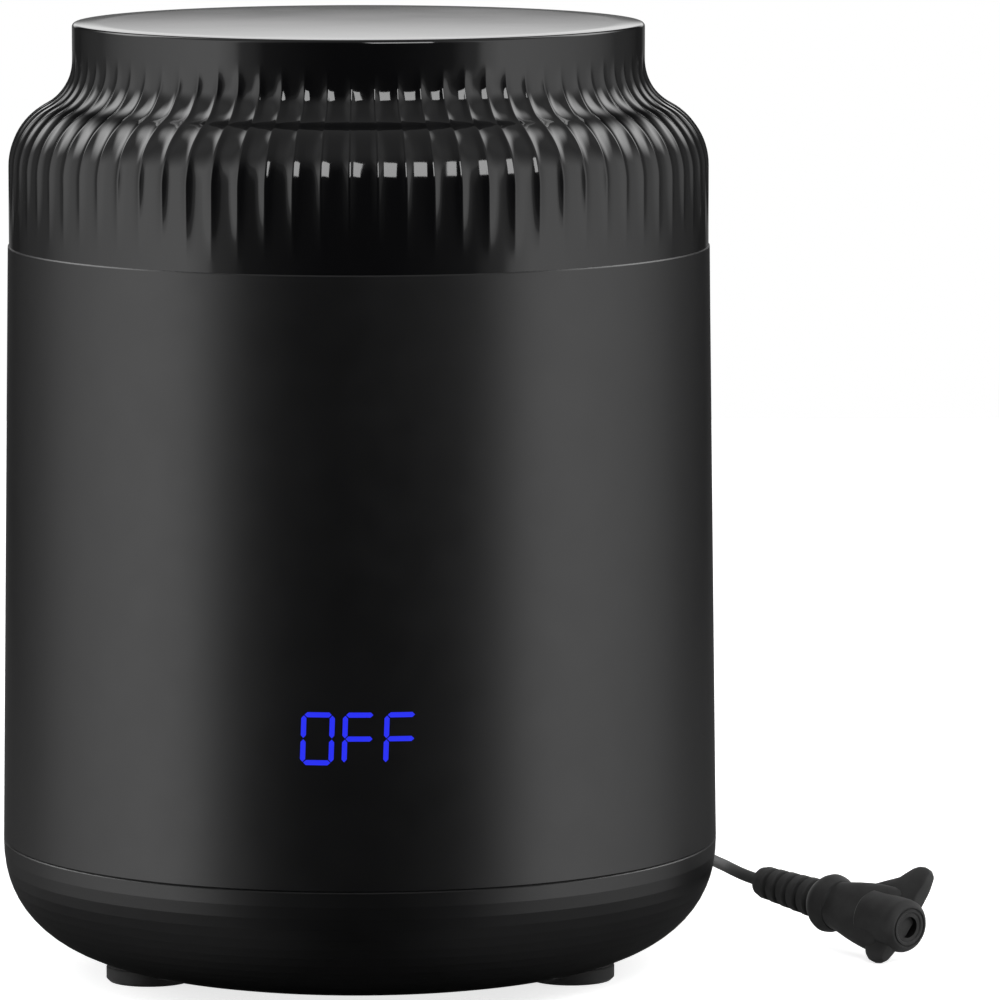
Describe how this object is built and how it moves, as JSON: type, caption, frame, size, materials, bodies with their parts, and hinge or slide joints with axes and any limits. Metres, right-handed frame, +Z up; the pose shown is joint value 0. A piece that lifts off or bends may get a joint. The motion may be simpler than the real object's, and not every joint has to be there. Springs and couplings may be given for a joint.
{
  "type": "filament dryer box",
  "caption": "Upright jar-shaped filament dryer with a fluted lift-off lid, a heated round spool chamber with rollers, a fan, a hidden display and a cord with a round connector.",
  "frame": {"origin": "centre of the body on the surface that the dryer stands on", "axes": "+Z up along the body's axis, -Y towards the display, +X to the right as seen from the front"},
  "size_m": [0.3025, 0.329, 0.3063],
  "materials": {
    "body_black": "satin black",
    "lid_smoke": "very dark smoke, polished",
    "seal_silicone": "matt",
    "foot_rubber": "matt",
    "screw_steel": "zinc plated",
    "bearing_steel": "ground",
    "liner_charcoal": "fine texture",
    "roller_plastic": "smooth",
    "duct_plastic": "heat-resistant plastic",
    "heater_aluminium": "plain",
    "fuse_ceramic": "plain",
    "fan_black": "satin",
    "coil_copper": "enamelled",
    "magnet_grey": "plain",
    "board_green": "solder mask",
    "transformer_tape": "tape",
    "relay_blue": "plain",
    "capacitor_black": "sleeve",
    "terminal_green": "plain",
    "display_black": "plain",
    "segment_blue": "light guide",
    "ribbon_grey": "plain",
    "cord_black": "flexible, satin",
    "contact_dark": "dark plated"
  },
  "bodies": {
    "housing": {"outer_shell": "body_black", "base_shell": "body_black", "rubber_feet": "foot_rubber", "base_screws": "screw_steel", "chamber_liner": "liner_charcoal", "floor_grille": "liner_charcoal", "roller_cradle": "liner_charcoal", "cradle_screws": "screw_steel", "roller_axles": "bearing_steel", "axle_clips": "screw_steel", "bearing_inner_rings": "bearing_steel", "heater_duct": "duct_plastic", "duct_screws": "screw_steel", "heater_frame": "duct_plastic", "heater_fins": "heater_aluminium", "heater_bars": "heater_aluminium", "thermal_fuse": "fuse_ceramic", "fan_frame": "fan_black", "fan_stator": "coil_copper", "fan_screws": "screw_steel", "control_board": "board_green", "board_screws": "screw_steel", "power_transformer": "transformer_tape", "heater_relay": "relay_blue", "power_capacitors": "capacitor_black", "terminal_block": "terminal_green", "display_board": "board_green", "display_module": "display_black", "display_segments": "segment_blue", "touch_springs": "bearing_steel", "display_ribbon": "ribbon_grey", "sensor_board": "board_green", "sensor_cap": "liner_charcoal", "filament_outlet": "liner_charcoal", "outlet_nut": "liner_charcoal", "cord_gland": "cord_black", "gland_nut": "cord_black", "mains_lead": "cord_black", "cord_lead": "cord_black", "cord_coil": "cord_black", "cord_tail": "cord_black", "connector_body": "cord_black", "connector_sleeve": "contact_dark"},
    "lid": {"lid_shell": "lid_smoke", "lid_seal": "seal_silicone"},
    "fan_rotor_unit": {"fan_rotor": "fan_black", "fan_magnet": "magnet_grey", "fan_shaft": "bearing_steel"},
    "front_roller_unit": {"front_roller": "roller_plastic", "front_roller_sleeves": "foot_rubber", "front_bearings": "bearing_steel"},
    "rear_roller_unit": {"rear_roller": "roller_plastic", "rear_roller_sleeves": "foot_rubber", "rear_bearings": "bearing_steel"}
  },
  "joints": [
    {"name": "lid_lift", "type": "slide", "parent": "housing", "child": "lid", "axis": [0, 0, 1], "range_m": [0, 0.09]},
    {"name": "fan_spin", "type": "hinge", "parent": "housing", "child": "fan_rotor_unit", "pos_m": [0, 0, 0.036], "axis": [0, 0, 1], "continuous": true},
    {"name": "front_roller_spin", "type": "hinge", "parent": "housing", "child": "front_roller_unit", "pos_m": [0, -0.045, 0.0745], "axis": [1, 0, 0], "continuous": true},
    {"name": "rear_roller_spin", "type": "hinge", "parent": "housing", "child": "rear_roller_unit", "pos_m": [0, 0.045, 0.0745], "axis": [1, 0, 0], "continuous": true}
  ]
}
